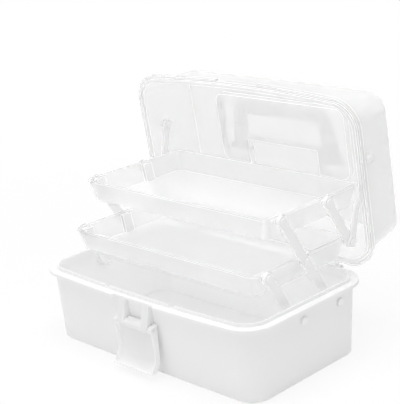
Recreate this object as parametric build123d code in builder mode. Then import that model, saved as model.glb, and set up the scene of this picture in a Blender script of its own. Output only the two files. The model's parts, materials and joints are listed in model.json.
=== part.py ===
from build123d import *
import os
from math import atan2, cos, hypot, radians, sin

os.makedirs("parts", exist_ok=True)

# Storage box with a hinged lid, two trays that swing out on parallel arms, a carrying
# handle in the lid and a hook latch on the front.
# Millimetres, X to the right, Y to the back, Z up, origin under the middle of the bin.
# The pieces stand as they do with the lid open, the trays out and the latch hanging.

# Rim that the bin and the lid share
rim_length = 330.0
rim_depth = 192.4
rim_radius = 34.0
front_bow = 4.8
flange_width = 6.5

# Bin
bin_height = 84.5
bin_wall = 2.5
bin_floor = 2.5
bin_end_draft = 4.5
bin_side_draft = 5.2
foot_radius = 21.6
foot_bow = 1.0
foot_round = 3.0
flange_thickness = 2.5
skirt_depth = 4.0
skirt_wall = 1.6
rim_round = 1.2
seat_groove_width = 1.5
seat_groove_depth = 1.2
lip_rise = 3.0
lip_wall = 1.6
lip_root = 4.5
lip_gap = 0.5
lip_notch_x = 49.5
lip_notch_width = 7.0

# Lid, drawn closed and stood open about its hinge
lid_wall = 2.4
lid_rise = 71.2
lid_seat_gap = 0.3
lid_flange_thickness = 5.0
lid_groove_depth = 3.0
lid_groove_rib = 1.6
lid_end_lean = 9.2
lid_front_lean = 8.7
lid_rear_lean = 4.7
lid_top_radius = 21.0
lid_top_bow = 0.5
lid_top_round = 7.0
open_angle = 82.8

# Lid hinges
hinge_inset = 53.5
hinge_setback = 4.0
hinge_drop = 2.2
hinge_barrel = 3.3
hinge_knuckle = 16.0
hinge_ear = 8.1
hinge_gap = 0.4
hinge_pin_radius = 1.5

# Trays
tray_side_room = 20.5
tray_depth = 150.3
tray_height = 25.0
tray_wall = 1.8
tray_draft = 4.8
tray_radius = 6.0
tray_foot_radius = 9.0
tray_foot_round = 2.0
bead_overhang = 1.2
bead_height = 2.0
pillar_width = 13.0
pillar_depth = 4.8
lower_front_margin = 15.2
upper_front_margin = 17.7

# Arms and pivots, seen from the side as (Y, Z)
foot_reach = 40.7
foot_drop = 16.0
foot_spacing = 58.7
rear_reach = 72.7
short_arm = 62.0
arm_angle = 122.3
arm_thickness = 4.0
arm_neck = 9.8
arm_eye = 6.2
arm_gap = 2.1
pivot_drop = 5.0

# Lid links
anchor_reach = 124.5
anchor_rise = 26.1
link_thickness = 3.2
link_eye = 5.9
link_neck = 7.0
joggle_start = 40.0
joggle_run = 7.0
loose_fit = 1.15

# Pivot pins and their fits
pin_radius = 2.5
pin_head = 4.3
pin_dome = 1.3
head_bevel = 0.7
tail_radius = 3.6
tail_thickness = 1.7
boss_radius = 6.0
tray_boss = 4.2
pad_radius = 4.9
pad_rise = 0.8
pin_bite = 9.0
side_gap = 0.3
head_gap = 0.2
fixed_fit = 0.02
running_fit = 0.06

# Handle, folded down into the well of the lid
handle_width = 18.0
handle_thickness = 6.6
handle_bar_y = -44.5
handle_bar_half = 61.5
handle_foot_half = 72.0
handle_pivot_y = 10.0
handle_bend = 13.0
handle_groove = 3.0
handle_groove_depth = 1.4
handle_foot_width = 22.0
handle_eye_step = 0.2
handle_rest_gap = 0.3
handle_pin_radius = 1.6

# Well for the handle in the top of the lid
well_side_room = 11.0
well_front_room = 2.0
well_back_room = 14.0
well_depth = 8.5
well_radius = 8.0
well_wall = 2.2
island_side_room = 6.0
island_front = -6.0

# Latch, hanging open in front of the bin
latch_width = 59.0
latch_plate = 2.0
latch_pivot_drop = 28.0
latch_standoff = 7.8
latch_setback = 3.5
latch_top_rise = 4.5
latch_slot_drop = 6.8
latch_reach = 36.5
latch_bend = 11.0
latch_lip = 1.2
latch_cheek = 2.0
latch_cheek_depth = 6.2
latch_cheek_swell = 2.0
latch_cheek_neck = 21.0
latch_barrel = 3.8
latch_pin_radius = 1.75
ear_inner = 14.0
ear_width = 9.0
ear_radius = 4.5
ear_root_drop = 6.0
ear_gap = 0.6
notch_half = 31.0
notch_depth = 2.8

# Catch on the lid for the latch
catch_half = 26.0
catch_gap = 1.0
catch_reach = 4.0
catch_round = 1.5

# Levels and sizes that follow
wall_length = rim_length - 2 * flange_width
wall_depth = rim_depth - 2 * flange_width
wall_radius = rim_radius - flange_width
flange_under = bin_height - flange_thickness
tray_length = wall_length - 2 * tray_side_room
hinge_x = wall_length / 2 - hinge_inset
hinge_y = rim_depth / 2 + hinge_setback
hinge_z = bin_height - hinge_drop
rim_front = -rim_depth / 2 - front_bow
lid_bottom = bin_height + lid_seat_gap
lid_top = lid_bottom + lid_rise
well_floor = lid_top - well_depth

# The lid's own frame: its closed coordinates, carried round to the open position
turn_cos = cos(radians(open_angle))
turn_sin = sin(radians(open_angle))
lid_origin = (
    0,
    hinge_y - hinge_y * turn_cos - hinge_z * turn_sin,
    hinge_z + hinge_y * turn_sin - hinge_z * turn_cos,
)
LID = Plane(origin=lid_origin, x_dir=(1, 0, 0), z_dir=(0, turn_sin, turn_cos))
LID_SIDE = Plane(origin=lid_origin, x_dir=LID.y_dir, z_dir=(1, 0, 0))

# Pivots with the trays out
long_arm_foot = (wall_depth / 2 - foot_reach, bin_height - foot_drop)
link_anchor = (hinge_y - anchor_reach, hinge_z + anchor_rise)
arm_run = short_arm * cos(radians(arm_angle))
arm_rise = short_arm * sin(radians(arm_angle))
short_arm_foot = (long_arm_foot[0] - foot_spacing, long_arm_foot[1])
lower_middle = (long_arm_foot[0] + arm_run, long_arm_foot[1] + arm_rise)
lower_front = (lower_middle[0] - foot_spacing, lower_middle[1])
lower_rear = (lower_middle[0] + rear_reach, lower_middle[1])
upper_front = (lower_middle[0] + arm_run, lower_middle[1] + arm_rise)
upper_rear = (lower_rear[0] + arm_run, lower_rear[1] + arm_rise)
link_top = (
    lid_origin[1] + link_anchor[0] * turn_cos + link_anchor[1] * turn_sin,
    lid_origin[2] - link_anchor[0] * turn_sin + link_anchor[1] * turn_cos,
)

# Layers outward from the trays' end walls: arms, pin heads, links
arm_inner = tray_length / 2 + arm_gap
arm_outer = arm_inner + arm_thickness
head_seat = arm_outer + head_gap
link_inner = arm_outer + side_gap
link_offset = link_thickness
link_outer = link_inner + link_thickness + link_offset
boss_face = arm_outer + side_gap
foot_wall = wall_length / 2 - bin_end_draft * (1 - long_arm_foot[1] / flange_under)
foot_pad = foot_wall + pad_rise


def finish(piece, name):
    """Label a finished piece and write it out"""
    piece.part.label = name
    export_step(piece.part, f"parts/{name}.step")


def rim_face(plane, length, depth, radius, bow, middle_y=0.0):
    """Rounded rectangle whose front edge swells outward by bow"""
    half = length / 2 - radius
    front = middle_y - depth / 2
    back = middle_y + depth / 2
    with BuildSketch(plane) as face:
        with BuildLine():
            ThreePointArc((-half, front), (0, front - bow), (half, front))
            CenterArc((half, front + radius), radius, 270, 90)
            Line((half + radius, front + radius), (half + radius, back - radius))
            CenterArc((half, back - radius), radius, 0, 90)
            Line((half, back), (-half, back))
            CenterArc((-half, back - radius), radius, 90, 90)
            Line((-half - radius, back - radius), (-half - radius, front + radius))
            CenterArc((-half, front + radius), radius, 180, 90)
        make_face()
    return face.sketch


def rim_ring(plane, outset, inset):
    """Ring along the wall's line, from outset outside the wall to inset inside it"""
    outer = rim_face(
        plane, wall_length + 2 * outset, wall_depth + 2 * outset, wall_radius + outset, front_bow
    )
    inner = rim_face(
        plane, wall_length - 2 * inset, wall_depth - 2 * inset, wall_radius - inset, front_bow
    )
    return outer - inner


def bar(plane, spot, start, end, radius, mode=Mode.ADD):
    """Round bar across the box at a spot of the side view, from X start to X end"""
    with BuildSketch(plane.offset(start)) as circle:
        with Locations(spot):
            Circle(radius)
    extrude(circle.sketch, amount=end - start, mode=mode)


def hull_plate(plane, start, end, spot, radius, corners):
    """Plate across the box, its side view the hull of a circle and some corners"""
    with BuildSketch(plane.offset(start)) as profile:
        with BuildLine():
            CenterArc(spot, radius, 0, 360)
            Polyline(*corners, close=True)
        make_hull()
    extrude(profile.sketch, amount=end - start)


def front_wall(height):
    """Y of the bin's outer front face in the middle, at a height"""
    foot = -(wall_depth / 2 - bin_side_draft) - foot_bow
    top = -wall_depth / 2 - front_bow
    return foot + (top - foot) * height / flange_under


# Latch pivot, in front of the bin's front face
latch_pivot_height = bin_height - latch_pivot_drop
latch_bend_height = latch_pivot_height - latch_reach
latch_pivot = (front_wall(latch_pivot_height) - latch_standoff, latch_pivot_height)


# Bin: drafted tub with a flanged rim, a locating lip and a round foot
def bin_shape(shrink, base, top):
    """Loft between the foot and the rim, drawn in by shrink"""
    return [
        rim_face(
            Plane.XY.offset(base),
            wall_length - 2 * (bin_end_draft + shrink),
            wall_depth - 2 * (bin_side_draft + shrink),
            foot_radius - shrink,
            foot_bow,
        ),
        rim_face(
            Plane.XY.offset(top),
            wall_length - 2 * shrink,
            wall_depth - 2 * shrink,
            wall_radius - shrink,
            front_bow,
        ),
    ]


with BuildPart() as tub:
    loft(bin_shape(0, 0, flange_under))
    fillet(tub.faces().sort_by(Axis.Z)[0].edges(), foot_round)
    extrude(rim_ring(Plane.XY.offset(flange_under), flange_width, bin_wall), amount=flange_thickness)
    skirt = rim_ring(Plane.XY.offset(bin_height - skirt_depth), flange_width, skirt_wall - flange_width)
    extrude(skirt, amount=skirt_depth)
    fillet(tub.faces().sort_by(Axis.Z)[-1].outer_wire().edges(), rim_round)
    with BuildSketch(Plane.XY.offset(bin_height - skirt_depth)):
        with Locations((0, rim_front)):
            Rectangle(2 * notch_half, 2 * notch_depth)
    extrude(amount=skirt_depth, mode=Mode.SUBTRACT)
    loft(bin_shape(bin_wall, bin_floor, flange_under), mode=Mode.SUBTRACT)
    lip_outer = lid_wall + lip_gap
    lip_base = bin_height - lip_root
    extrude(
        rim_ring(Plane.XY.offset(lip_base), -bin_wall + lip_gap, lip_outer + lip_wall),
        amount=flange_under - lip_base,
    )
    extrude(
        rim_ring(Plane.XY.offset(flange_under), -bin_wall + lip_gap, lip_outer + lip_wall),
        amount=flange_thickness,
    )
    extrude(
        rim_ring(Plane.XY.offset(bin_height), -lip_outer, lip_outer + lip_wall),
        amount=lip_rise,
    )
    seat_groove = rim_ring(Plane.XY.offset(bin_height), seat_groove_width - lip_outer, lip_outer)
    extrude(seat_groove, amount=-seat_groove_depth, mode=Mode.SUBTRACT)
    with BuildSketch(Plane.XY.offset(bin_height)):
        with Locations((-lip_notch_x, rim_front), (lip_notch_x, rim_front)):
            Rectangle(lip_notch_width, rim_depth / 4)
    extrude(amount=lip_rise, mode=Mode.SUBTRACT)

    # Bosses for the arms' feet, each with a pad outside for the pin's head
    for side in (-1, 1):
        for foot in (short_arm_foot, long_arm_foot):
            wall_middle = side * (foot_wall - bin_wall / 2)
            bar(Plane.YZ, foot, wall_middle, side * boss_face, boss_radius)
            bar(Plane.YZ, foot, wall_middle, side * foot_pad, pad_radius)
            bar(
                Plane.YZ,
                foot,
                side * (foot_pad + pad_rise),
                side * (boss_face - pad_rise),
                pin_radius + fixed_fit,
                Mode.SUBTRACT,
            )

    # Ears for the latch
    ear_root = bin_wall / 2
    ear_foot = latch_pivot_height - ear_root_drop
    for side in (-1, 1):
        inner = side * ear_inner
        hull_plate(
            Plane.YZ,
            inner,
            inner + side * ear_width,
            latch_pivot,
            ear_radius,
            [
                (front_wall(flange_under) + ear_root, flange_under + flange_thickness / 2),
                (rim_front + notch_depth, flange_under + flange_thickness / 2),
                (front_wall(ear_foot) + ear_root, ear_foot),
            ],
        )
    bar(
        Plane.YZ,
        latch_pivot,
        -ear_inner - ear_width,
        ear_inner + ear_width,
        latch_pin_radius + fixed_fit,
        Mode.SUBTRACT,
    )

    # Hinge ears behind the rim, with a notch between them for the lid's knuckle
    with BuildSketch(Plane.XY.offset(bin_height - skirt_depth)):
        with Locations((-hinge_x, rim_depth / 2), (hinge_x, rim_depth / 2)):
            Rectangle(hinge_knuckle + 2 * hinge_gap, 2 * skirt_wall)
    extrude(amount=skirt_depth, mode=Mode.SUBTRACT)
    for side in (-1, 1):
        for edge in (
            side * hinge_x - hinge_knuckle / 2 - hinge_gap - hinge_ear,
            side * hinge_x + hinge_knuckle / 2 + hinge_gap,
        ):
            hull_plate(
                Plane.YZ,
                edge,
                edge + hinge_ear,
                (hinge_y, hinge_z),
                hinge_barrel,
                [
                    (rim_depth / 2 - skirt_wall, bin_height - skirt_depth),
                    (rim_depth / 2 - skirt_wall, bin_height - 1),
                    (rim_depth / 2, bin_height - skirt_depth),
                ],
            )
    reach = hinge_x + hinge_knuckle / 2 + hinge_gap + hinge_ear
    bar(Plane.YZ, (hinge_y, hinge_z), -reach, reach, hinge_pin_radius + fixed_fit, Mode.SUBTRACT)

finish(tub, "bin")


# Lid: drafted shell with a grooved flange and a well in its top for the handle
def lid_shape(shrink, base, top):
    """Loft between the lid's rim and its top, drawn in by shrink"""
    depth = wall_depth - lid_front_lean - lid_rear_lean
    middle = (lid_front_lean - lid_rear_lean) / 2
    return [
        rim_face(
            LID.offset(base),
            wall_length - 2 * shrink,
            wall_depth - 2 * shrink,
            wall_radius - shrink,
            front_bow,
        ),
        rim_face(
            LID.offset(top),
            wall_length - 2 * (lid_end_lean + shrink),
            depth - 2 * shrink,
            lid_top_radius - shrink,
            lid_top_bow,
            middle,
        ),
    ]


def lid_wall_x(height):
    """X of the lid's outer end face at a closed height"""
    return wall_length / 2 - lid_end_lean * (height - lid_bottom) / lid_rise


def lid_front(height):
    """Closed Y of the lid's outer front face in the middle, at a closed height"""
    foot = -wall_depth / 2 - front_bow
    top = -wall_depth / 2 + lid_front_lean - lid_top_bow
    return foot + (top - foot) * (height - lid_bottom) / lid_rise


handle_foot_inner = handle_foot_half - handle_foot_width / 2
handle_foot_outer = handle_foot_half + handle_foot_width / 2
well_half = handle_foot_outer + well_side_room
well_front = handle_bar_y - handle_width / 2 - well_front_room
well_back = handle_pivot_y + well_back_room
island_half = handle_foot_inner - island_side_room


def well_face(height, grow):
    """U of the handle's well round its island, grown all round by a wall"""
    with BuildSketch(LID.offset(height)) as face:
        with Locations((0, (well_front + well_back) / 2)):
            RectangleRounded(
                2 * (well_half + grow), well_back - well_front + 2 * grow, well_radius + grow
            )
        with Locations((0, island_front + grow)):
            Rectangle(
                2 * (island_half - grow),
                well_back - island_front + grow,
                align=(Align.CENTER, Align.MIN),
                mode=Mode.SUBTRACT,
            )
    return face.sketch


handle_pivot = (handle_pivot_y, well_floor + handle_rest_gap + handle_thickness / 2)
handle_boss = handle_pivot[1] - well_floor - handle_rest_gap
handle_eye = handle_thickness / 2 - handle_eye_step
link_seat = lid_wall_x(link_anchor[1])

with BuildPart() as lid:
    loft(lid_shape(0, lid_bottom, lid_top))
    fillet(lid.faces().sort_by(Axis((0, 0, 0), LID.z_dir))[-1].edges(), lid_top_round)
    loft(lid_shape(lid_wall, lid_bottom, lid_top - lid_wall), mode=Mode.SUBTRACT)
    extrude(rim_ring(LID.offset(lid_bottom), flange_width, lid_wall), amount=lid_flange_thickness)
    groove = rim_ring(LID.offset(lid_bottom), flange_width - lid_groove_rib, -lid_groove_rib)
    extrude(groove, amount=lid_groove_depth, mode=Mode.SUBTRACT)

    # Front: flange cut back for the latch's cheeks, and the ledge that its hook catches
    with BuildSketch(LID.offset(lid_bottom)):
        with Locations((0, rim_front)):
            Rectangle(2 * notch_half, 2 * notch_depth)
    extrude(amount=lid_flange_thickness, mode=Mode.SUBTRACT)
    catch_foot = lid_bottom + lid_groove_depth
    hook_level = 2 * latch_pivot_height - latch_bend_height + latch_bend - latch_plate / 2
    catch_top = hook_level - catch_gap
    with BuildSketch(LID_SIDE.offset(-catch_half)) as catch:
        with BuildLine():
            Polyline(
                (lid_front(catch_foot) + lid_wall / 2, catch_foot),
                (lid_front(catch_foot) - catch_reach, catch_foot),
                (lid_front(catch_top) - catch_reach, catch_top),
                (lid_front(catch_top) + lid_wall / 2, catch_top),
                close=True,
            )
        make_face()
        fillet(catch.vertices().sort_by(Axis.Z)[-1:], catch_round)
    extrude(amount=2 * catch_half)

    # Well for the handle, with bosses for its pins
    extrude(well_face(well_floor - well_wall, well_wall), amount=well_depth + well_wall - lid_wall / 2)
    extrude(well_face(well_floor, 0), amount=well_depth + lid_wall, mode=Mode.SUBTRACT)
    for side in (-1, 1):
        for start, end in (
            (island_half - well_wall / 2, handle_foot_inner - hinge_gap),
            (well_half + well_wall / 2, handle_foot_outer + hinge_gap),
        ):
            hull_plate(
                LID_SIDE,
                side * start,
                side * end,
                handle_pivot,
                handle_boss,
                [
                    (handle_pivot_y - handle_boss, well_floor - well_wall / 2),
                    (handle_pivot_y + handle_boss, well_floor - well_wall / 2),
                ],
            )
        bar(
            LID_SIDE,
            handle_pivot,
            side * (island_half - well_wall),
            side * well_half,
            handle_pin_radius + fixed_fit,
            Mode.SUBTRACT,
        )

    # Bosses for the links, each with a pad outside for the pin's head
    for side in (-1, 1):
        wall_middle = side * (link_seat - lid_wall / 2)
        bar(LID_SIDE, link_anchor, wall_middle, side * (link_outer + side_gap), pad_radius)
        bar(LID_SIDE, link_anchor, wall_middle, side * (link_seat + pad_rise), pad_radius)
        bar(
            LID_SIDE,
            link_anchor,
            side * (link_seat + 2 * pad_rise),
            side * link_outer,
            pin_radius + fixed_fit,
            Mode.SUBTRACT,
        )

    # Hinge knuckles
    flange_top = lid_bottom + lid_flange_thickness
    for side in (-1, 1):
        hull_plate(
            LID_SIDE,
            side * hinge_x - hinge_knuckle / 2,
            side * hinge_x + hinge_knuckle / 2,
            (hinge_y, hinge_z),
            hinge_barrel,
            [
                (rim_depth / 2 - skirt_wall, flange_top),
                (rim_depth / 2 - skirt_wall, flange_top - lid_groove_rib),
                (hinge_y - hinge_barrel / 2, flange_top),
            ],
        )
        bar(
            LID_SIDE,
            (hinge_y, hinge_z),
            side * hinge_x - hinge_knuckle / 2,
            side * hinge_x + hinge_knuckle / 2,
            hinge_pin_radius + running_fit,
            Mode.SUBTRACT,
        )

finish(lid, "lid")

for side, hand in ((-1, "left"), (1, "right")):
    with BuildPart() as hinge_pin:
        half_span = hinge_knuckle / 2 + hinge_gap + hinge_ear
        middle = side * hinge_x
        bar(Plane.YZ, (hinge_y, hinge_z), middle - half_span, middle + half_span, hinge_pin_radius)
    finish(hinge_pin, f"hinge_pin_{hand}")


# Handle: ribbed grip bent to a U, with a round foot on each leg
with BuildPart() as handle:
    with BuildLine(LID.offset(handle_pivot[1])) as grip:
        FilletPolyline(
            (-handle_foot_half, handle_pivot_y),
            (-handle_bar_half, handle_bar_y),
            (handle_bar_half, handle_bar_y),
            (handle_foot_half, handle_pivot_y),
            radius=handle_bend,
        )
    ridge = (handle_width - 2 * handle_groove) / 3
    groove_place = (ridge + handle_groove) / 2
    groove_level = (handle_thickness - handle_groove_depth) / 2
    with BuildSketch(Plane(origin=grip.line @ 0, x_dir=LID.z_dir, z_dir=grip.line % 0)) as section:
        Rectangle(handle_thickness, handle_width)
        fillet(section.vertices(), handle_groove_depth)
        with Locations((groove_level, -groove_place), (groove_level, groove_place)):
            Rectangle(handle_groove_depth, handle_groove, mode=Mode.SUBTRACT)
    sweep(path=grip.line)
    for side in (-1, 1):
        hull_plate(
            LID_SIDE,
            side * handle_foot_inner,
            side * handle_foot_outer,
            handle_pivot,
            handle_eye,
            [
                (handle_pivot_y - handle_thickness, handle_pivot[1] - handle_eye),
                (handle_pivot_y - handle_thickness, handle_pivot[1] + handle_eye),
            ],
        )
        bar(
            LID_SIDE,
            handle_pivot,
            side * handle_foot_inner,
            side * handle_foot_outer,
            handle_pin_radius + running_fit,
            Mode.SUBTRACT,
        )

finish(handle, "handle")

for side, hand in ((-1, "left"), (1, "right")):
    with BuildPart() as handle_pin:
        inner_end = island_half - well_wall + hinge_gap
        outer_end = well_half - hinge_gap
        bar(LID_SIDE, handle_pivot, side * inner_end, side * outer_end, handle_pin_radius)
    finish(handle_pin, f"handle_pin_{hand}")


# Trays: shallow drafted tubs with a beaded rim and a pillar behind each pivot
def tray_face(height, front, grow, radius):
    """Rounded rectangle of a tray at a height, grown all round"""
    with BuildSketch(Plane.XY.offset(height)) as face:
        with Locations((0, front + tray_depth / 2)):
            RectangleRounded(tray_length + 2 * grow, tray_depth + 2 * grow, radius)
    return face.sketch


def tray(front, pivots):
    """Tray with its front edge at front, hung from pivots near its rim"""
    rim = pivots[0][1] + pivot_drop
    floor = rim - tray_height
    skin = bead_overhang + tray_wall
    wall_top = tray_length / 2 - skin
    with BuildPart() as hollow:
        loft([
            tray_face(floor + tray_wall, front, -skin - tray_draft, tray_foot_radius - tray_wall),
            tray_face(rim, front, -skin, tray_radius - tray_wall),
        ])
        for spot in pivots:
            for side in (-1, 1):
                with BuildSketch(Plane(origin=(0, spot[0], 0), x_dir=(1, 0, 0), z_dir=(0, -1, 0))):
                    with BuildLine():
                        Polyline(
                            (side * tray_length / 2, rim - bead_height),
                            (side * (wall_top - pillar_depth), rim - bead_height),
                            (side * (wall_top - pillar_depth - tray_draft), floor),
                            (side * tray_length / 2, floor),
                            close=True,
                        )
                    make_face()
                extrude(amount=pillar_width / 2, both=True, mode=Mode.SUBTRACT)
    with BuildPart() as body:
        loft([
            tray_face(floor, front, -bead_overhang - tray_draft, tray_foot_radius),
            tray_face(rim, front, -bead_overhang, tray_radius),
        ])
        fillet(body.faces().sort_by(Axis.Z)[0].edges(), tray_foot_round)
        add(hollow.part, mode=Mode.SUBTRACT)
        bead = tray_face(rim - bead_height, front, 0, tray_radius + bead_overhang)
        mouth = tray_face(rim - bead_height, front, -skin, tray_radius - tray_wall)
        extrude(bead - mouth, amount=bead_height)
        for spot in pivots:
            for side in (-1, 1):
                boss_root = side * (wall_top + tray_wall / 2)
                bar(Plane.YZ, spot, boss_root, side * (arm_inner - side_gap), tray_boss)
                bar(
                    Plane.YZ,
                    spot,
                    side * arm_inner,
                    side * (arm_inner - pin_bite),
                    pin_radius + fixed_fit,
                    Mode.SUBTRACT,
                )
    return body


lower_tray = tray(lower_front[0] - lower_front_margin, [lower_front, lower_middle, lower_rear])
finish(lower_tray, "lower_tray")
upper_tray = tray(upper_front[0] - upper_front_margin, [upper_front, upper_rear])
finish(upper_tray, "upper_tray")


# Arms: flat bars with a round eye at each pivot
def arm(side, foot, stations):
    """Arm rising from foot at the arms' angle, with eyes at stations along it"""
    lie = Plane(
        origin=(side * arm_inner, foot[0], foot[1]),
        x_dir=(0, cos(radians(arm_angle)), sin(radians(arm_angle))),
        z_dir=(side, 0, 0),
    )
    with BuildPart() as body:
        with BuildSketch(lie):
            with Locations((stations[-1] / 2, 0)):
                Rectangle(stations[-1], arm_neck)
            with Locations(*[(station, 0) for station in stations]):
                Circle(arm_eye)
                Circle(pin_radius + running_fit, mode=Mode.SUBTRACT)
        extrude(amount=arm_thickness)
    return body


for side, hand in ((-1, "left"), (1, "right")):
    finish(arm(side, short_arm_foot, [0, short_arm]), f"short_arm_{hand}")
    finish(arm(side, long_arm_foot, [0, short_arm, 2 * short_arm]), f"long_arm_{hand}")
    finish(arm(side, lower_rear, [0, short_arm]), f"rear_arm_{hand}")


# Lid links: bars with a step outward, past the pin heads of the upper tray
link_length = hypot(link_top[0] - lower_rear[0], link_top[1] - lower_rear[1])
link_angle = atan2(link_top[1] - lower_rear[1], link_top[0] - lower_rear[0])
link_lie = (0, cos(link_angle), sin(link_angle))
joggle_end = joggle_start + joggle_run

for side, hand in ((-1, "left"), (1, "right")):
    with BuildPart() as lid_link:
        edge_on = Plane(
            origin=(0, *lower_rear), x_dir=link_lie, z_dir=(0, link_lie[2], -link_lie[1])
        )
        with BuildSketch(edge_on):
            with BuildLine():
                Polyline(
                    (-link_eye, side * link_inner),
                    (joggle_start, side * link_inner),
                    (joggle_end, side * (link_inner + link_offset)),
                    (link_length + link_eye, side * (link_inner + link_offset)),
                    (link_length + link_eye, side * link_outer),
                    (joggle_end - joggle_run / 4, side * link_outer),
                    (joggle_start - joggle_run / 4, side * (link_outer - link_offset)),
                    (-link_eye, side * (link_outer - link_offset)),
                    close=True,
                )
            make_face()
        extrude(amount=link_eye, both=True)
        face_on = Plane(origin=(side * link_inner, *lower_rear), x_dir=link_lie, z_dir=(side, 0, 0))
        with BuildSketch(face_on):
            with Locations((link_length / 2, 0)):
                Rectangle(link_length, link_neck)
            with Locations((0, 0), (link_length, 0)):
                Circle(link_eye)
            Circle(pin_radius + loose_fit, mode=Mode.SUBTRACT)
            with Locations((link_length, 0)):
                Circle(pin_radius + running_fit, mode=Mode.SUBTRACT)
        extrude(amount=link_outer - link_inner, mode=Mode.INTERSECT)
    finish(lid_link, f"lid_link_{hand}")


# Pivot pins: a domed head outside, and a tail that ends in the wall or in a collar
def pin(plane, spot, seat, tip, collar=None):
    """Pin at a spot of the side view, its head seated at X seat and its shank ending at X tip"""
    outward = 1 if seat > tip else -1
    side_of_head = outward if collar is None or abs(seat) > abs(tip) else -outward
    with BuildPart() as body:
        bar(plane, spot, seat, seat + side_of_head * pin_dome, pin_head)
        crown = body.edges().filter_by(GeomType.CIRCLE).sort_by(Axis.X)
        chamfer(crown[-1] if side_of_head > 0 else crown[0], head_bevel)
        bar(plane, spot, seat, tip, pin_radius)
        if collar is not None:
            bar(plane, spot, tip, tip - side_of_head * tail_thickness, collar)
    return body


base_seat = foot_pad + head_gap
lid_pin_seat = link_seat + pad_rise + head_gap
rear_seat = link_inner + link_thickness + side_gap
for side, hand in ((-1, "left"), (1, "right")):
    tray_tip = side * (arm_inner - pin_bite + side_gap)
    arm_tip = side * (arm_inner - side_gap)
    link_tip = side * (link_outer - link_thickness - side_gap)
    for name, plane, spot, seat, tip, collar in (
        ("short_arm_foot_pin", Plane.YZ, short_arm_foot, side * base_seat, arm_tip, tail_radius),
        ("long_arm_foot_pin", Plane.YZ, long_arm_foot, side * base_seat, arm_tip, tail_radius),
        ("short_arm_tray_pin", Plane.YZ, lower_front, side * head_seat, tray_tip, None),
        ("long_arm_lower_pin", Plane.YZ, lower_middle, side * head_seat, tray_tip, None),
        ("rear_pivot_pin", Plane.YZ, lower_rear, side * rear_seat, tray_tip, None),
        ("long_arm_upper_pin", Plane.YZ, upper_front, side * head_seat, tray_tip, None),
        ("rear_arm_upper_pin", Plane.YZ, upper_rear, side * head_seat, tray_tip, None),
        ("lid_link_pin", LID_SIDE, link_anchor, side * lid_pin_seat, link_tip, tail_radius),
    ):
        finish(pin(plane, spot, seat, tip, collar), f"{name}_{hand}")


# Latch: plate with cheeks, hanging from a pin in the bin's ears, its end curled into a hook
plate_y = latch_pivot[0] + latch_setback + latch_plate / 2
plate_top = latch_pivot_height + latch_top_rise
cheek_y = plate_y + latch_plate / 2 - latch_cheek_depth
lip_end = (plate_y - latch_bend - latch_lip, latch_bend_height - latch_bend)
with BuildPart() as latch:
    with BuildSketch(Plane.YZ.offset(-latch_width / 2)):
        with BuildLine():
            plate = Line((plate_y, plate_top), (plate_y, latch_bend_height))
            hook = TangentArc(plate @ 1, (plate_y - latch_bend, lip_end[1]), tangent=plate % 1)
            Line(hook @ 1, lip_end)
            offset(amount=latch_plate / 2)
        make_face()
    extrude(amount=latch_width)
    for side in (-1, 1):
        with BuildSketch(Plane.YZ.offset(side * latch_width / 2)):
            with BuildLine():
                back = Line((plate_y, plate_top), (plate_y, latch_bend_height))
                curl = TangentArc(back @ 1, (plate_y - latch_bend, lip_end[1]), tangent=back % 1)
                Polyline(
                    curl @ 1,
                    (plate_y - latch_bend, lip_end[1] + latch_plate),
                    (cheek_y, latch_bend_height + latch_plate),
                    (cheek_y, latch_pivot_height - latch_cheek_neck),
                    (cheek_y - latch_cheek_swell, latch_pivot_height - latch_cheek_neck / 2),
                    (cheek_y - latch_cheek_swell, latch_pivot_height),
                    (plate_y, plate_top),
                )
            make_face()
        extrude(amount=-side * latch_cheek)
    slot_inner = ear_inner - ear_gap
    slot_outer = ear_inner + ear_width + ear_gap
    slot_foot = latch_pivot_height - latch_slot_drop
    with BuildSketch(Plane.XZ.offset(-plate_y + latch_plate)):
        for side in (-1, 1):
            with Locations((side * (slot_inner + slot_outer) / 2, slot_foot)):
                Rectangle(
                    slot_outer - slot_inner, plate_top, align=(Align.CENTER, Align.MIN)
                )
    extrude(amount=-2 * latch_plate, mode=Mode.SUBTRACT)
    for start, end in (
        (-slot_inner, slot_inner),
        (slot_outer, latch_width / 2),
        (-latch_width / 2, -slot_outer),
    ):
        hull_plate(
            Plane.YZ,
            start,
            end,
            latch_pivot,
            latch_barrel,
            [
                (plate_y, plate_top),
                (plate_y, latch_pivot_height - 2 * latch_top_rise),
                (plate_y - latch_plate / 2, plate_top),
            ],
        )
    bar(
        Plane.YZ,
        latch_pivot,
        -latch_width / 2,
        latch_width / 2,
        latch_pin_radius + running_fit,
        Mode.SUBTRACT,
    )

finish(latch, "latch")

with BuildPart() as latch_pin:
    bar(Plane.YZ, latch_pivot, -latch_width / 2, latch_width / 2, latch_pin_radius)

finish(latch_pin, "latch_pin")
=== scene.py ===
import json
from math import cos, radians, sin

import bpy
from mathutils import Matrix, Vector

# A frosted storage box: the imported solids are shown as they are, with moulded-plastic materials,
# under soft studio light. Metres and degrees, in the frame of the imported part.

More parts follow.
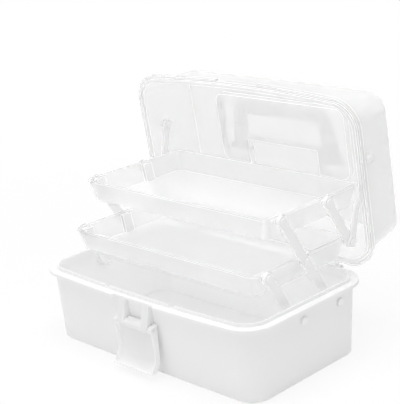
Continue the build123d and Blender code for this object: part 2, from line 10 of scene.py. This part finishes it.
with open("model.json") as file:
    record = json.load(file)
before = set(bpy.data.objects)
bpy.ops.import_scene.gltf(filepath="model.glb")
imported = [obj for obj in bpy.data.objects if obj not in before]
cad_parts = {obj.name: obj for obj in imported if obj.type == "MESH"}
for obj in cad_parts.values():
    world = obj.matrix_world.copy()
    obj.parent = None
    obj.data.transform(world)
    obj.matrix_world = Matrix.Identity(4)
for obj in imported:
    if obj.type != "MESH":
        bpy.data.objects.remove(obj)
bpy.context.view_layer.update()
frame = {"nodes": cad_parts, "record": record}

# Camera, fitted to the photograph's frame
IMAGE_HEIGHT_PX = 404
FOCAL_PX = 1167.2
CAMERA_AZIMUTH = 45.72
CAMERA_ELEVATION = 17.41
CAMERA_ROLL = -4.34
CAMERA_DISTANCE = 1.2585
CAMERA_TARGET = (0.01085, 0.0, 0.16685)
CAMERA_REACH = 30.0
SENSOR_MM = 36.0

# Strength of the world's light, and of the white that is seen instead of it
WORLD_LIGHT = 0.576
BACKDROP_WHITE = 1.0

# Square lamps, all turned to one point of the box: name, place, side, watts
LAMP_AIM = (0.0, 0.0, 0.1)
LAMPS = (
    ("key light", (-1.0, -1.6, 1.3), 1.4, 3.0),
    ("fill light", (1.8, -0.6, 0.9), 1.4, 0.5),
    ("top light", (0.1, -0.2, 2.0), 1.6, 20.0),
)

# Floor, just under the part's flat underside
FLOOR_REACH = 6.0
FLOOR_LEVEL = -0.0002

# Share of plain white that is seen in the floor, by distance from the frame's origin
FLOOR_NEAR = 0.3
FLOOR_NEAR_SHARE = 0.8
FLOOR_FAR = 0.9
FLOOR_FAR_SHARE = 1.0

# Light goes on from wall to wall inside the box, and through several walls of frosted plastic
MOST_BOUNCES = 32
DIFFUSE_BOUNCES = 16
GLOSSY_BOUNCES = 8
TRANSMISSION_BOUNCES = 24
CLEAR_BOUNCES = 48

# How far light wanders inside the plastic, the same for red, green and blue
SCATTER_DEPTH = 0.003
SCATTER_EVENLY = (1.0, 1.0, 1.0)

# Flow marks: fineness and detail of the pattern, and where one tone turns into the other
FLOW_SCALE = 14.0
FLOW_DETAIL = 3.0
FLOW_LOW = 0.35
FLOW_HIGH = 0.65

# Surface grain: detail of the pattern, depth of its relief, and how far the roughness varies with it
GRAIN_DETAIL = 2.0
GRAIN_DEPTH = 0.0004
GRAIN_ROUGHNESS = 0.05

# Frosted walls let part of the view through, and cover more of it along their edges. An edge
# begins and is full where the rounded normal matches the true one by these cosines.
FROSTED_COVER = 0.3
EDGE_COVER = 0.75
EDGE_RADIUS = 0.0012
EDGE_SAMPLES = 8
EDGE_START = 0.99
EDGE_FULL = 0.7

# The bin's inside and rim face this point above it, and its outer faces turn away from the point and
# get a darker tone as painted shade
BIN_NODE = "bin"
BIN_POINT = (0.0, 0.0, 0.3)

# Colours
FROSTED = (0.992, 0.992, 0.993, 1.0)
FROSTED_HAZE = (0.987, 0.987, 0.989, 1.0)
WHITE = (0.995, 0.995, 0.996, 1.0)
WHITE_LOW = (0.99, 0.99, 0.991, 1.0)
# Painted shade: darker tone for the bin's outer faces, so its inside reads brighter
PAINTED_SHADE_OUTSIDE = (0.89, 0.89, 0.892, 1.0)
ARM = (0.99, 0.99, 0.991, 1.0)
ARM_LOW = (0.965, 0.965, 0.967, 1.0)
PIN = (0.98, 0.98, 0.981, 1.0)
FLOOR = (0.97, 0.97, 0.97, 1.0)
PLAIN_WHITE = (1.0, 1.0, 1.0, 1.0)


def new_material(name):
    """Empty node material with its output"""
    material = bpy.data.materials.new(name)
    material.use_nodes = True
    tree = material.node_tree
    tree.nodes.clear()
    output = tree.nodes.new("ShaderNodeOutputMaterial")
    return material, tree, output


def flow_colour(tree, place, high, low):
    """Faint flow marks between two tones of the plastic"""
    flow = tree.nodes.new("ShaderNodeTexNoise")
    flow.inputs["Scale"].default_value = FLOW_SCALE
    flow.inputs["Detail"].default_value = FLOW_DETAIL
    tree.links.new(place.outputs["Object"], flow.inputs["Vector"])
    ramp = tree.nodes.new("ShaderNodeValToRGB")
    ramp.color_ramp.elements[0].position = FLOW_LOW
    ramp.color_ramp.elements[0].color = low
    ramp.color_ramp.elements[1].position = FLOW_HIGH
    ramp.color_ramp.elements[1].color = high
    tree.links.new(flow.outputs["Fac"], ramp.inputs["Fac"])
    return ramp.outputs["Color"]


def painted_outer_shade(tree, place, inside, painted_shade_tone):
    """Painted shade: a darker tone on the faces that turn away from the point above the bin"""
    away = tree.nodes.new("ShaderNodeVectorMath")
    away.operation = "SUBTRACT"
    away.inputs[1].default_value = BIN_POINT
    tree.links.new(place.outputs["Object"], away.inputs[0])
    facing = tree.nodes.new("ShaderNodeVectorMath")
    facing.operation = "DOT_PRODUCT"
    tree.links.new(away.outputs["Vector"], facing.inputs[0])
    tree.links.new(place.outputs["Normal"], facing.inputs[1])
    # Mask of the faces that get the painted shade
    painted_shade_mask = tree.nodes.new("ShaderNodeMath")
    painted_shade_mask.operation = "GREATER_THAN"
    painted_shade_mask.inputs[1].default_value = 0.0
    tree.links.new(facing.outputs["Value"], painted_shade_mask.inputs[0])
    mix = tree.nodes.new("ShaderNodeMix")
    mix.data_type = "RGBA"
    mix.inputs["B"].default_value = painted_shade_tone
    tree.links.new(painted_shade_mask.outputs["Value"], mix.inputs["Factor"])
    tree.links.new(inside, mix.inputs["A"])
    return mix.outputs["Result"]


def edge_cover(tree, cover):
    """Cover of a frosted wall, rising along its edges"""
    rounded = tree.nodes.new("ShaderNodeBevel")
    rounded.samples = EDGE_SAMPLES
    rounded.inputs["Radius"].default_value = EDGE_RADIUS
    surface = tree.nodes.new("ShaderNodeNewGeometry")
    match = tree.nodes.new("ShaderNodeVectorMath")
    match.operation = "DOT_PRODUCT"
    tree.links.new(rounded.outputs["Normal"], match.inputs[0])
    tree.links.new(surface.outputs["Normal"], match.inputs[1])
    edge = tree.nodes.new("ShaderNodeMapRange")
    edge.inputs["From Min"].default_value = EDGE_START
    edge.inputs["From Max"].default_value = EDGE_FULL
    edge.inputs["To Min"].default_value = cover
    edge.inputs["To Max"].default_value = EDGE_COVER
    tree.links.new(match.outputs["Value"], edge.inputs["Value"])
    return edge.outputs["Result"]


def moulded(name, high, low, roughness, grain, bump, ior=1.45, scatter=1.0, cover=1.0, painted_shade_tone=None):
    """Plastic with flow marks, fine grain and soft gloss, in which a share of the light wanders,
    and, when a shade tone is given, painted shade on the faces that turn away from the point above
    the bin
    """
    material, tree, output = new_material(name)
    nodes, links = tree.nodes, tree.links
    place = nodes.new("ShaderNodeTexCoord")
    fine = nodes.new("ShaderNodeTexNoise")
    fine.inputs["Scale"].default_value = grain
    fine.inputs["Detail"].default_value = GRAIN_DETAIL
    links.new(place.outputs["Object"], fine.inputs["Vector"])
    relief = nodes.new("ShaderNodeBump")
    relief.inputs["Strength"].default_value = bump
    relief.inputs["Distance"].default_value = GRAIN_DEPTH
    links.new(fine.outputs["Fac"], relief.inputs["Height"])
    rough = nodes.new("ShaderNodeMapRange")
    rough.inputs["To Min"].default_value = roughness - GRAIN_ROUGHNESS
    rough.inputs["To Max"].default_value = roughness + GRAIN_ROUGHNESS
    links.new(fine.outputs["Fac"], rough.inputs["Value"])
    shader = nodes.new("ShaderNodeBsdfPrincipled")
    shader.inputs["IOR"].default_value = ior
    shader.inputs["Subsurface Weight"].default_value = scatter
    shader.inputs["Subsurface Radius"].default_value = SCATTER_EVENLY
    shader.inputs["Subsurface Scale"].default_value = SCATTER_DEPTH
    colour = flow_colour(tree, place, high, low)
    if painted_shade_tone is not None:
        colour = painted_outer_shade(tree, place, colour, painted_shade_tone)
    links.new(colour, shader.inputs["Base Color"])
    links.new(rough.outputs["Result"], shader.inputs["Roughness"])
    links.new(relief.outputs["Normal"], shader.inputs["Normal"])
    if cover < 1.0:
        links.new(edge_cover(tree, cover), shader.inputs["Alpha"])
    links.new(shader.outputs["BSDF"], output.inputs["Surface"])
    return material


# Materials by record slot
MATERIALS = {
    "clear_frosted_plastic": moulded(
        "frosted polypropylene",
        FROSTED,
        FROSTED_HAZE,
        roughness=0.42,
        grain=900.0,
        bump=0.12,
        ior=1.3,
        cover=FROSTED_COVER,
    ),
    "white_plastic": moulded(
        "white polypropylene", WHITE, WHITE_LOW, roughness=0.38, grain=700.0, bump=0.1
    ),
    "arm_plastic": moulded(
        "hazy polypropylene", ARM, ARM_LOW, roughness=0.3, grain=700.0, bump=0.1, scatter=0.0
    ),
    "pin_plastic": moulded(
        "pin plastic", PIN, WHITE, roughness=0.25, grain=500.0, bump=0.05, scatter=0.0
    ),
}
# The bin's own material, with painted shade: its outer faces take the darker tone
PAINTED_SHADE_BIN_PLASTIC = moulded(
    "bin polypropylene with painted shade",
    WHITE,
    WHITE_LOW,
    roughness=0.38,
    grain=700.0,
    bump=0.1,
    painted_shade_tone=PAINTED_SHADE_OUTSIDE,
)


def dress_nodes():
    """Give every CAD node the material of its record slot, and the bin its own, with painted shade
    on its outer faces
    """
    for entry in frame["record"]["subparts"]:
        piece = frame["nodes"][entry["node"]]
        piece.data.materials.clear()
        if entry["node"] == BIN_NODE:
            piece.data.materials.append(PAINTED_SHADE_BIN_PLASTIC)
        else:
            piece.data.materials.append(MATERIALS[entry["material_slot"]])


def seen_as_white(tree):
    """1 for rays from the camera, from gloss and from clear plastic"""
    nodes, links = tree.nodes, tree.links
    path = nodes.new("ShaderNodeLightPath")
    first = nodes.new("ShaderNodeMath")
    first.operation = "MAXIMUM"
    links.new(path.outputs["Is Camera Ray"], first.inputs[0])
    links.new(path.outputs["Is Glossy Ray"], first.inputs[1])
    second = nodes.new("ShaderNodeMath")
    second.operation = "MAXIMUM"
    links.new(first.outputs["Value"], second.inputs[0])
    links.new(path.outputs["Is Transmission Ray"], second.inputs[1])
    return second.outputs["Value"]


def make_world():
    """Even soft light, seen as plain white"""
    world = bpy.data.worlds.new("studio")
    bpy.context.scene.world = world
    world.use_nodes = True
    tree = world.node_tree
    tree.nodes.clear()
    output = tree.nodes.new("ShaderNodeOutputWorld")
    light = tree.nodes.new("ShaderNodeBackground")
    light.inputs["Color"].default_value = PLAIN_WHITE
    light.inputs["Strength"].default_value = WORLD_LIGHT
    white = tree.nodes.new("ShaderNodeBackground")
    white.inputs["Color"].default_value = PLAIN_WHITE
    white.inputs["Strength"].default_value = BACKDROP_WHITE
    mix = tree.nodes.new("ShaderNodeMixShader")
    tree.links.new(seen_as_white(tree), mix.inputs["Fac"])
    tree.links.new(light.outputs["Background"], mix.inputs[1])
    tree.links.new(white.outputs["Background"], mix.inputs[2])
    tree.links.new(mix.outputs["Shader"], output.inputs["Surface"])


def floor_material():
    """Pale floor that keeps a soft shadow near the box and fades to plain white"""
    material, tree, output = new_material("studio floor")
    diffuse = tree.nodes.new("ShaderNodeBsdfDiffuse")
    diffuse.inputs["Color"].default_value = FLOOR
    glow = tree.nodes.new("ShaderNodeEmission")
    glow.inputs["Color"].default_value = PLAIN_WHITE
    glow.inputs["Strength"].default_value = BACKDROP_WHITE
    place = tree.nodes.new("ShaderNodeTexCoord")
    distance = tree.nodes.new("ShaderNodeVectorMath")
    distance.operation = "LENGTH"
    tree.links.new(place.outputs["Object"], distance.inputs[0])
    fade = tree.nodes.new("ShaderNodeMapRange")
    fade.inputs["From Min"].default_value = FLOOR_NEAR
    fade.inputs["From Max"].default_value = FLOOR_FAR
    fade.inputs["To Min"].default_value = FLOOR_NEAR_SHARE
    fade.inputs["To Max"].default_value = FLOOR_FAR_SHARE
    tree.links.new(distance.outputs["Value"], fade.inputs["Value"])
    share = tree.nodes.new("ShaderNodeMath")
    share.operation = "MULTIPLY"
    tree.links.new(seen_as_white(tree), share.inputs[0])
    tree.links.new(fade.outputs["Result"], share.inputs[1])
    mix = tree.nodes.new("ShaderNodeMixShader")
    tree.links.new(share.outputs["Value"], mix.inputs["Fac"])
    tree.links.new(diffuse.outputs["BSDF"], mix.inputs[1])
    tree.links.new(glow.outputs["Emission"], mix.inputs[2])
    tree.links.new(mix.outputs["Shader"], output.inputs["Surface"])
    return material


def make_floor():
    """Flat square floor"""
    corners = [
        (-FLOOR_REACH, -FLOOR_REACH, FLOOR_LEVEL),
        (FLOOR_REACH, -FLOOR_REACH, FLOOR_LEVEL),
        (FLOOR_REACH, FLOOR_REACH, FLOOR_LEVEL),
        (-FLOOR_REACH, FLOOR_REACH, FLOOR_LEVEL),
    ]
    mesh = bpy.data.meshes.new("floor")
    mesh.from_pydata(corners, [], [(0, 1, 2, 3)])
    mesh.materials.append(floor_material())
    floor = bpy.data.objects.new("floor", mesh)
    bpy.context.scene.collection.objects.link(floor)


def make_lights():
    """Strong soft light from above, weak ones from the front left and the right"""
    for name, place, side, watts in LAMPS:
        light = bpy.data.lights.new(name, "AREA")
        light.shape = "SQUARE"
        light.size = side
        light.energy = watts
        lamp = bpy.data.objects.new(name, light)
        lamp.location = place
        towards = Vector(LAMP_AIM) - Vector(place)
        lamp.rotation_euler = towards.to_track_quat("-Z", "Y").to_euler()
        bpy.context.scene.collection.objects.link(lamp)


def set_bounces():
    """Let light bounce deeply enough to fill the box"""
    cycles = bpy.context.scene.cycles
    cycles.max_bounces = MOST_BOUNCES
    cycles.diffuse_bounces = DIFFUSE_BOUNCES
    cycles.glossy_bounces = GLOSSY_BOUNCES
    cycles.transmission_bounces = TRANSMISSION_BOUNCES
    cycles.transparent_max_bounces = CLEAR_BOUNCES


def make_camera():
    """Camera at the photograph's angle"""
    azimuth = radians(CAMERA_AZIMUTH)
    elevation = radians(CAMERA_ELEVATION)
    roll = radians(CAMERA_ROLL)
    back = Vector((sin(azimuth) * cos(elevation), -cos(azimuth) * cos(elevation), sin(elevation)))
    level = (-back).cross(Vector((0, 0, 1))).normalized()
    rise = level.cross(-back).normalized()
    right = level * cos(roll) + rise * sin(roll)
    up = rise * cos(roll) - level * sin(roll)
    data = bpy.data.cameras.new("camera")
    data.sensor_fit = "VERTICAL"
    data.sensor_height = SENSOR_MM
    data.lens = FOCAL_PX / IMAGE_HEIGHT_PX * SENSOR_MM
    data.clip_end = CAMERA_REACH
    camera = bpy.data.objects.new("camera", data)
    place = Vector(CAMERA_TARGET) + back * CAMERA_DISTANCE
    turn = Matrix((right, up, back)).transposed().to_4x4()
    camera.matrix_world = Matrix.Translation(place) @ turn
    bpy.context.scene.collection.objects.link(camera)
    bpy.context.scene.camera = camera


dress_nodes()
make_world()
make_floor()
make_lights()
set_bounces()
make_camera()
bpy.context.scene.view_settings.view_transform = "Standard"
